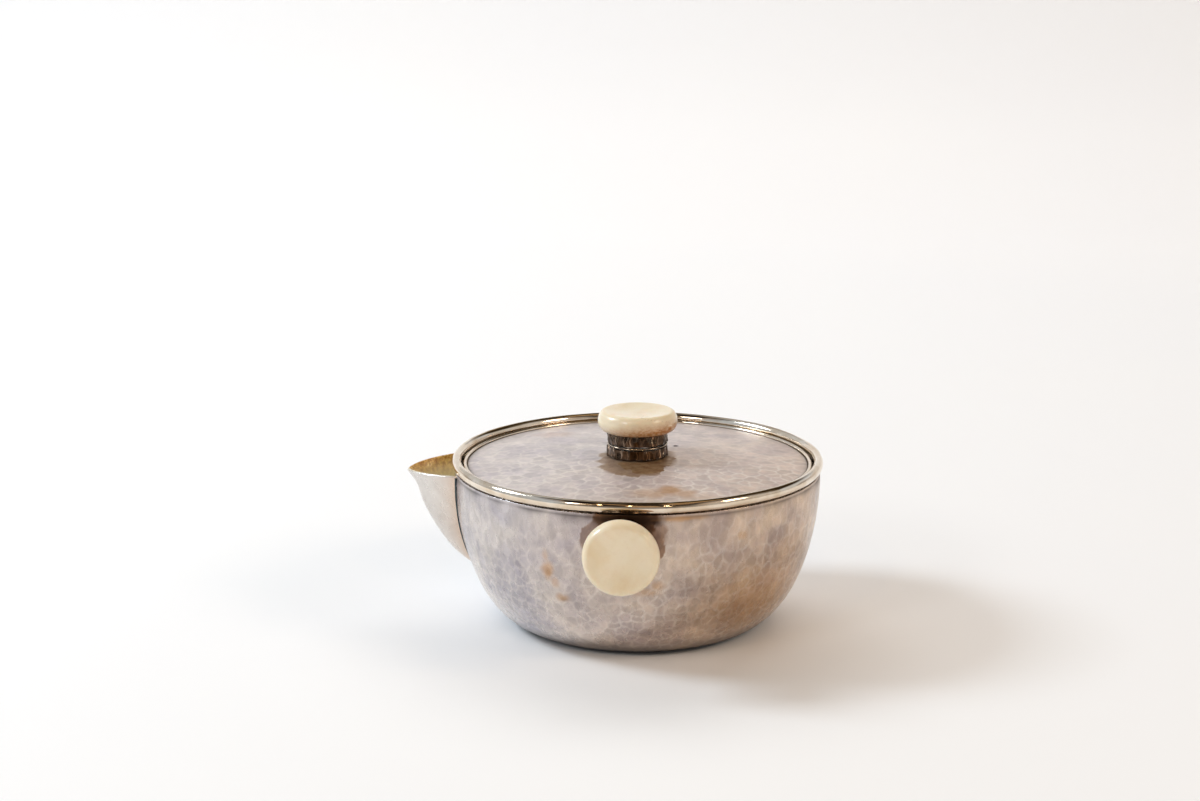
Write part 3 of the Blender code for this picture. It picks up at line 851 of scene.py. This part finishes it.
def spout_sheet(share, across):
    """The spout's outer face. Each height has an oval section from the wall out to the keel and back; across
    runs from -1 at one root edge, by 0 at the keel, to 1 at the other."""
    keel = keel_curve(share)
    reach, height = keel[..., 0], keel[..., 1]
    low, high = KEEL[0, 1], KEEL[-1, 1]
    half_width = SPOUT_HALF_WIDTH * ((height - low).clip(0) / (high - low)) ** WIDTH_POWER
    angle = math.pi / 2 * (1 - np.abs(across))
    outwards = np.sin(angle) ** 1.25
    side = np.sign(across) * half_width * np.cos(angle).clip(0) ** 1.24
    root = np.sqrt((wall_radius(height) ** 2 - half_width**2).clip(0)) - 2.5
    x = root + (reach - root) * outwards
    z = height + SPOUT_EDGE_RISE * share**3 * np.sqrt((1 - outwards).clip(0))
    return np.stack([-x, side, z], -1)


def seam_path(outer):
    """Where the spout's outer face meets the wall, smoothed: from the lip down one side and up the other."""
    outside = np.hypot(outer[..., 0], outer[..., 1]) > wall_radius(outer[..., 2]) + 0.15
    open_rows = outside.any(1)
    first = outside.argmax(1)[open_rows]
    last = outer.shape[1] - 1 - outside[:, ::-1].argmax(1)[open_rows]
    pick = np.flatnonzero(open_rows)
    path = np.concatenate([outer[pick[::-1], first[::-1]], outer[pick, last]])
    angle = np.arctan2(path[:, 1], path[:, 0])
    held = wall_radius(path[:, 2]) + 0.05
    path = np.stack([held * np.cos(angle), held * np.sin(angle), path[:, 2]], 1)
    kernel = np.ones(7) / 7
    padded = np.concatenate([path[:1].repeat(3, 0), path, path[-1:].repeat(3, 0)])
    return np.stack([np.convolve(padded[:, k], kernel, "valid") for k in range(3)], 1)


def spout_surfaces():
    """The spout as one skin: up the outside, over a rounded lip and down the inside. Points that fall within
    the bowl's wall are held half way into its thickness. The old solder along the seam is a wire."""
    share = np.linspace(0.02, 1, 110)[:, None]
    across = np.linspace(-1, 1, 161)[None]
    outer = spout_sheet(share, across)
    normal = np.cross(np.gradient(outer, axis=0), np.gradient(outer, axis=1))
    normal /= np.maximum(np.linalg.norm(normal, axis=-1), 1e-9)[..., None]
    inner = outer - normal * SPOUT_SHEET
    rise = np.gradient(outer, axis=0)[-1]
    rise /= np.maximum(np.linalg.norm(rise, axis=-1), 1e-9)[..., None]
    turn = np.linspace(0, math.pi, 7)[1:-1][:, None, None]
    half = SPOUT_SHEET / 2
    lip = (outer[-1] + inner[-1]) / 2 + normal[-1] * half * np.cos(turn) + rise * 0.7 * half * np.sin(turn)
    points = np.concatenate([outer, lip, inner[::-1]])
    radius = np.hypot(points[..., 0], points[..., 1])
    hold = wall_radius(points[..., 2]) - WALL / 2
    scale = np.where(radius < hold, hold / np.maximum(radius, 1e-6), 1)
    points[..., :2] *= scale[..., None]
    clear = (radius - wall_radius(points[..., 2])).clip(0)
    row = np.arange(len(points))[:, None] + 0 * clear
    within = np.clip((row - len(outer)) / 4.0, 0, 1)
    marks = {
        "seam": 0.75 * np.exp(-clear / 3.2),
        "inside": within,
        "lip": within * np.clip((points[..., 2] - 43.5) / 5.5, 0, 1) * np.where(points[..., 1] > 0, 1.0, 0.4),
    }
    marks = {name: values[:, ::-1] for name, values in marks.items()}
    spout = surface("spout_sheet", points[:, ::-1], SPOUT_SILVER, "pot", marks, around=False)
    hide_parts("spout")
    seam = surface("spout_seam", tube(seam_path(outer), 0.5), SEAM_SOLDER, "pot")


# Lid -------------------------------------------------------------------------------------------------


def dome_height(radius):
    """Height of the lid's upper face."""
    return SHELL_HIGH[2] - 2.4 * (radius / SHELL_HIGH[0]) ** 2


# Stains on the lid: place along X and Y, half-size along X and Y in millimetres, strength, edge softness
OCHRE_ON_LID = [
    (7.0, -42.0, 6.0, 4.0, 0.4, 1.0), (13.0, -38.5, 4.4, 4.0, 0.7, 0.9), (17.5, -40.5, 3.5, 3.4, 0.55, 0.9),
    (10.0, -41.5, 2.8, 3.0, 0.5, 0.9), (24.0, -44.0, 6.0, 3.0, 0.2, 1.0), (-30.0, 30.0, 6.0, 4.0, 0.2, 1.0),
]
UMBER_ON_LID = [
    (13.5, -38.5, 1.5, 1.2, 0.35, 0.8), (-14.0, 16.0, 5.0, 3.0, 0.12, 1.0),
    (3.0, -49.0, 16.0, 6.0, 0.12, 1.0),
]
# Painted reflection of the knob's disc in the lid: place along X and Y, half-size along X and Y in
# millimetres, strength
REFLECTION_ON_LID = [(0.3, -6.5, 12.2, 19.5, 0.8), (3.5, -7.5, 8.6, 15.5, 1.0)]


UP = np.array([0.0, 0.0, 1.0])
VENT = np.array([
    VENT_DISTANCE * math.cos(math.radians(VENT_TURN)), VENT_DISTANCE * math.sin(math.radians(VENT_TURN)),
    dome_height(VENT_DISTANCE),
])


def lid_dome():
    """The lid's hammered top, open in the middle under the knob's collar and at the steam hole."""
    edge = SHELL_HIGH[0]
    radii = np.concatenate([[7.0, 8.2, 9.0], np.linspace(9.4, edge, 112)])
    nearest, border, shade, fell, facing, angle = strike(radii, radii, 800, 4.6, 1.05, 31, 0.36)
    out = radii[:, None]
    rng = np.random.default_rng(6)
    height = dished(nearest, border, 60.0) + 0.05 * wander(out, angle[None], rng, 14, 2, 9) - 0.03
    calm = np.clip((edge - 0.2 - out) / 1.5, 0, 1)
    top = np.stack([out * np.cos(angle), out * np.sin(angle), dome_height(out) + height * calm], -1)
    x, y = top[..., 0], top[..., 1]
    # Painted shade in the gap by the edge wire and round the collar's foot, and below that round the steam
    # hole.
    painted_shade = 0.45 * np.exp(-(edge - out) / 0.6) + 0.5 * np.exp(-np.abs(out - 9.4) / 0.7)
    from_vent = np.hypot(x - VENT[0], y - VENT[1]) - VENT_RADIUS
    marks = {
        "border": border,
        "shade": shade,
        "ochre": stains(x, y, OCHRE_ON_LID, 23),
        "umber_and_shade": stains(x, y, UMBER_ON_LID, 24),
        # The painted reflection of the knob's disc in the lid.
        "knob_reflection": reflection_patch(fell * np.cos(facing), fell * np.sin(facing), x, y, REFLECTION_ON_LID),
        "painted_shade": np.maximum(painted_shade, 0.9 * np.exp(-((from_vent.clip(0) / 0.22) ** 2))),
    }
    top, drop = pierce(top, VENT, UP, VENT_RADIUS, 0.12)
    marks["crisp"] = 0.4 + 0.55 * np.clip((18 - top[..., 1]) / 30, 0, 1)
    marks = {name: values[::-1] for name, values in marks.items()}
    shell = surface("lid_dome", top[::-1], LID_SILVER, "lid", marks, drop=drop[::-1])
    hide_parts("lid_shell")


def lid_underside():
    """The lid's plain underside with the wall at its edge, and the wall of the steam hole."""
    edge, columns = SHELL_HIGH[0], 480
    radii = np.linspace(0, edge, 130)
    under = lathe(np.stack([radii, dome_height(radii) - 1.0], 1), columns)
    under, drop = pierce(under, VENT - UP, UP, VENT_RADIUS, 0.2)
    under = np.concatenate([under, lathe([(edge, dome_height(edge))], columns)])
    drop = np.concatenate([drop, np.zeros((1, columns), bool)])
    below = surface("lid_underside", under, INNER_SILVER, "lid", drop=drop, poles=(True, False))
    vent = surface("steam_hole_wall", lining(VENT - UP / 2, UP, VENT_RADIUS, 1.1), HOLE_PAINTED_SHADE, "lid")


def lid_rings():
    """The wire round the lid's edge, arched on top, and the tube below that drops into the mouth."""
    low, high, outer = EDGE_LOW[2], EDGE_HIGH[2], EDGE_HIGH[0]
    middle, half = outer - 0.6, 0.6
    arc = np.linspace(0, math.pi, 9)
    arch = np.stack([middle + half * np.cos(arc), high - half + half * np.sin(arc)], 1)
    outline = np.concatenate([[(middle - half, low), (outer, low)], arch])
    ring = turned("lid_edge_wire", outline, POLISHED_SILVER, "lid", 420)
    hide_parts("lid_edge_ring")
    low, high, inner, outer = FLANGE_LOW[2], FLANGE_HIGH[2], 53.0, 54.2
    outline = soften([(inner, low), (outer, low), (outer, high), (inner, high)], 0.3)
    flange = turned("lid_drop_tube", outline, POLISHED_SILVER, "lid", 360)
    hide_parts("lid_flange")


# Knobs -----------------------------------------------------------------------------------------------


GRIP_LEVEL = (GRIP_LOW[2] + GRIP_HIGH[2]) / 2


def stand(points, prefix):
    """Places a piece made about +Z: on the lid's crown, or level on the bowl's front for the grip."""
    if prefix == "knob":
        return points + (0, 0, SHELL_HIGH[2])
    return np.stack([points[..., 0], -WALL_RADIUS - points[..., 2], points[..., 1] + GRIP_LEVEL], -1)


def planished(name, outline, body, prefix, seed):
    """A turned band with the flats of a small hammer on its side: tall marks, stretched along it. Pale
    streaks round its side are painted highlights.
    """
    columns = 300
    outline = resample(outline, step=0.16)
    along = np.concatenate([[0], np.cumsum(np.hypot(*np.diff(outline, axis=0).T))])
    nearest, border, *_ = strike(along, np.maximum(outline[:, 0], 4), columns, 2.8, 2.2, seed, 0.34)
    height = dished(nearest, border, 4.0, 0.16) - 0.2
    side = np.clip((outline[:, 0] - outline[:, 0].max() + 0.5) / 0.4, 0, 1)[:, None]
    points = raised(outline, height * side)
    rng = np.random.default_rng(seed + 7)
    angle = TAU * np.arange(columns) / columns + 0.02 * np.sin(along[:, None] * 2.1)
    # Painted highlights: pale random streaks round the band's side.
    bright = np.clip(wander(0 * angle, angle, rng, 26, 12, 80) - 0.7, 0, 1) * 0.9
    return surface(name, stand(points, prefix), COLLAR_PAINTED_REFLECTION, body, {"bright": bright * side})


def disc_outline(disc_radius, inner):
    """A disc from its foot in the cup up to the middle of its dished face."""
    bottom, middle, top = DISC_FOOT, DISC_FOOT + 0.48 * DISC_THICK, DISC_FOOT + DISC_THICK
    crest = disc_radius - 2.0
    down = np.linspace(0, 1, 40)[:, None]
    face = np.concatenate([crest * down, top - 0.9 * (1 - down**2) ** 1.5], 1)
    turn = np.linspace(math.pi / 2, 0, 16)[1:, None]
    shoulder = [crest + (disc_radius - crest) * np.cos(turn), middle + (top - middle) * np.sin(turn)]
    turn = np.linspace(0, math.pi / 2, 16)[1:, None]
    belly = [disc_radius - 2.6 * (1 - np.cos(turn)), middle - (middle - bottom) * np.sin(turn)]
    under = [(inner, bottom), (inner - 0.3, bottom - 1.0), (0, bottom - 1.0)]
    return np.concatenate([face, np.concatenate(shoulder, 1), np.concatenate(belly, 1), under])[::-1]


def disc_surface(prefix, body, disc_radius, inner, seed):
    """The ivory-coloured disc, a little out of round. It is darker brown low down towards one side, and the
    knob's carries one fine crack."""
    outline = disc_outline(disc_radius, inner)
    columns = 200
    points = lathe(outline, columns)
    angle = TAU * np.arange(columns) / columns
    height, middle = outline[:, 1:], DISC_FOOT + 0.48 * DISC_THICK
    waver = 1 + 0.0035 * wander(height, angle[None], np.random.default_rng(seed), 6, 1, 3)
    points[..., :2] *= np.minimum(waver, 1.004)[..., None]
    toward_side = 0.5 + 0.5 * np.cos(angle[None] - math.radians(325))
    low_brown = np.clip((middle - 1.2 + 3.4 * toward_side - height) / 3.2, 0, 1) * (0.1 + 0.9 * toward_side)
    swing = angle[None] - math.radians(300) + 0.5 * np.sin(height * 0.9)
    crack = np.exp(-((swing * disc_radius / 0.16) ** 2)) * np.clip((height - DISC_FOOT) / 1.0, 0, 1)
    marks = {"low_side_brown": low_brown, "crack": crack * (0.35 if prefix == "knob" else 0.0)}
    disc = surface(f"{prefix}_ivory", stand(points, prefix), IVORY, body, marks, poles=(True, True))
    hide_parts(f"{prefix}_disc")


def knob_surfaces(prefix, body, collar_radius, disc_radius, foot, seed):
    """A knob: base collar, wire ring, cup and dished disc, one above the other, on a stud."""
    inner = collar_radius - 1.0
    collar_line = [(inner, foot), (collar_radius, foot), (collar_radius, 3.4), (inner, 3.4), (inner, 3.0)]
    collar = planished(f"{prefix}_collar_band", collar_line, body, prefix, seed)
    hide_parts(f"{prefix}_base_collar")
    ring = stand(lathe(oval(collar_radius - 0.4, 4.0, 0.6, 0.3, 12), 240), prefix)
    wire = surface(f"{prefix}_wire", ring, WIRE_SILVER, body, closed=True)
    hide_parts(f"{prefix}_wire_ring")
    cup_line = [(1.6, 4.6), (collar_radius, 4.6), (collar_radius, 8.0), (inner, 8.0), (inner, 7.4)]
    cup = planished(f"{prefix}_cup_band", cup_line, body, prefix, seed + 1)
    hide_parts(f"{prefix}_cup")
    disc_surface(prefix, body, disc_radius, inner, seed + 2)
    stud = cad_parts[f"{prefix}_stud"]
    stud.data.materials.clear()
    stud.data.materials.append(POLISHED_SILVER)


# Setting ---------------------------------------------------------------------------------------------


def sweep_floor():
    """A pale floor that curves up into a backdrop: a straight run, a quarter circle and a wall, in metres."""
    turn = np.linspace(-math.pi / 2, 0, 24)
    bend = np.stack([0.75 + 0.35 * np.cos(turn), 0.35 + 0.35 * np.sin(turn)], 1)
    line = np.concatenate([[(-1.6, 0.0), (0.3, 0.0)], bend, [(1.1, 0.5)]])
    across = np.linspace(-2.2, 2.2, 3)
    points = np.stack(np.broadcast_arrays(across[None, :], line[:, :1], line[:, 1:]), -1)
    mesh = bpy.data.meshes.new("studio_sweep")
    mesh.from_pydata(points.reshape(-1, 3), [], grid_faces(len(line), 3, around=False).tolist())
    mesh.shade_smooth()
    floor = bpy.data.objects.new("studio_sweep", mesh)
    bpy.context.scene.collection.objects.link(floor)
    made, tree, shader = new_material("studio_white")
    place = object_place(tree)
    tone = add(tree, "ShaderNodeTexNoise", {"Vector": place, "Scale": 3.0, "Detail": 2.0}).outputs[0]
    plug(tree, shader, {
        "Base Color": blend(tree, tone, tint(244, 244, 246), tint(248, 247, 246)),
        "Roughness": 0.9,
    })
    mesh.materials.append(made)


def softbox(name, place, look_at, size, power, colour):
    """A rectangular area light at a place, facing a point."""
    data = bpy.data.lights.new(name, "AREA")
    data.shape = "RECTANGLE"
    data.size, data.size_y = size
    data.energy = power
    data.color = colour
    lamp = bpy.data.objects.new(name, data)
    lamp.location = place
    lamp.rotation_euler = (Vector(look_at) - Vector(place)).to_track_quat("-Z", "Y").to_euler()
    bpy.context.scene.collection.objects.link(lamp)
    return lamp


def room_light():
    """The room beyond the white sweep: dark and warm with patches of lamplight high on the camera's side,
    bright and cool to the left, pale to the right, and over the back a beamed ceiling above a bright wall."""
    world = bpy.data.worlds.new("room")
    world.use_nodes = True
    tree = world.node_tree
    place = add(tree, "ShaderNodeTexCoord").outputs["Generated"]
    parts = add(tree, "ShaderNodeSeparateXYZ", {0: place}).outputs
    patches = add(tree, "ShaderNodeTexNoise", {"Vector": place, "Scale": 2.6, "Detail": 3.0}).outputs[0]
    high = blend(tree, ramp(tree, patches, 0, 1, 0.52, 0.58), (0.03, 0.02, 0.014, 1), (0.7, 0.48, 0.28, 1))
    front = blend(tree, ramp(tree, parts["Z"], 0, 1, 0.28, 0.42), (0.46, 0.44, 0.43, 1), high)
    right = blend(tree, ramp(tree, parts["X"], 0, 1, 0.45, 0.85), front, (0.98, 0.94, 0.90, 1))
    left = blend(tree, ramp(tree, parts["X"], 0, 1, -0.50, -0.75), right, (0.86, 0.98, 1.14, 1))
    beams = blend(tree, ramp(tree, patches, 0, 1, 0.50, 0.58), (0.06, 0.04, 0.02, 1), (0.55, 0.42, 0.24, 1))
    ceiling = blend(tree, ramp(tree, parts["X"], 0, 1, -0.05, -0.4), beams, (0.95, 1.0, 1.06, 1))
    ceiling = blend(tree, ramp(tree, parts["Z"], 0, 1, 0.38, 0.52), (1.05, 1.10, 1.17, 1), ceiling)
    rear = blend(tree, ramp(tree, parts["Y"], 0, 1, 0.02, 0.30), left, ceiling)
    shader = tree.nodes["Background"]
    plug(tree, shader, {
        "Color": rear,
        "Strength": 0.62,
    })
    return world


POT_MIDDLE = (0, 0, 0.04)
LAMP_PLACES = [(-0.5, -1.25, 1.15), (-0.05, -1.45, 1.3), (0.6, -1.3, 1.1)]
# Each light's place and size in metres, power in watts, and colour
SOFTBOXES = {
    "left_window": ((-1.2, 0.1, 0.95), (0.38, 0.42), 12.5, (0.78, 0.90, 1.0)),
    "front_fill": ((-0.75, -1.0, 0.75), (0.25, 0.25), 2.2, (0.96, 0.98, 1.0)),
    "right_lamp": ((1.1, -0.45, 0.8), (0.35, 0.35), 3.4, (1.0, 0.82, 0.64)),
}
for number, lamp_place in enumerate(LAMP_PLACES):
    SOFTBOXES[f"ceiling_lamp_{number}"] = (lamp_place, (0.1, 0.1), 1.2, (1.0, 0.76, 0.48))
CAMERA_PLACE = (0.04936, -0.7240, 0.24213)
CAMERA_TILT, CAMERA_TURN = math.radians(76.848), math.radians(4.858)


def light_and_camera():
    """Soft boxes round the pot, the room beyond them, and the camera. The overhead light isn't mirrored."""
    scene = bpy.context.scene
    scene.world = room_light()
    scene.view_settings.view_transform = "Standard"
    for name, (place, size, power, colour) in SOFTBOXES.items():
        softbox(name, place, POT_MIDDLE, size, power, colour)
    overhead = softbox("back_overhead", (0.0, 0.95, 1.35), (0, 0.05, 0), (1.8, 0.9), 11.5, (1.0, 0.97, 0.93))
    overhead.visible_glossy = False
    camera_data = bpy.data.cameras.new("camera")
    camera_data.lens = 69.31
    camera_data.sensor_width = 36.0
    camera = bpy.data.objects.new("camera", camera_data)
    camera.location = CAMERA_PLACE
    camera.rotation_euler = (CAMERA_TILT, 0.0, CAMERA_TURN)
    scene.collection.objects.link(camera)
    scene.camera = camera


def main():
    light_and_camera()
    sweep_floor()
    bowl_surfaces()
    rim_surfaces()
    spout_surfaces()
    lid_dome()
    lid_underside()
    lid_rings()
    knob_surfaces("knob", "lid", collar_radius=9.6, disc_radius=12.9, foot=0.3, seed=41)
    knob_surfaces("grip", "pot", collar_radius=8.7, disc_radius=11.65, foot=-0.9, seed=51)


main()
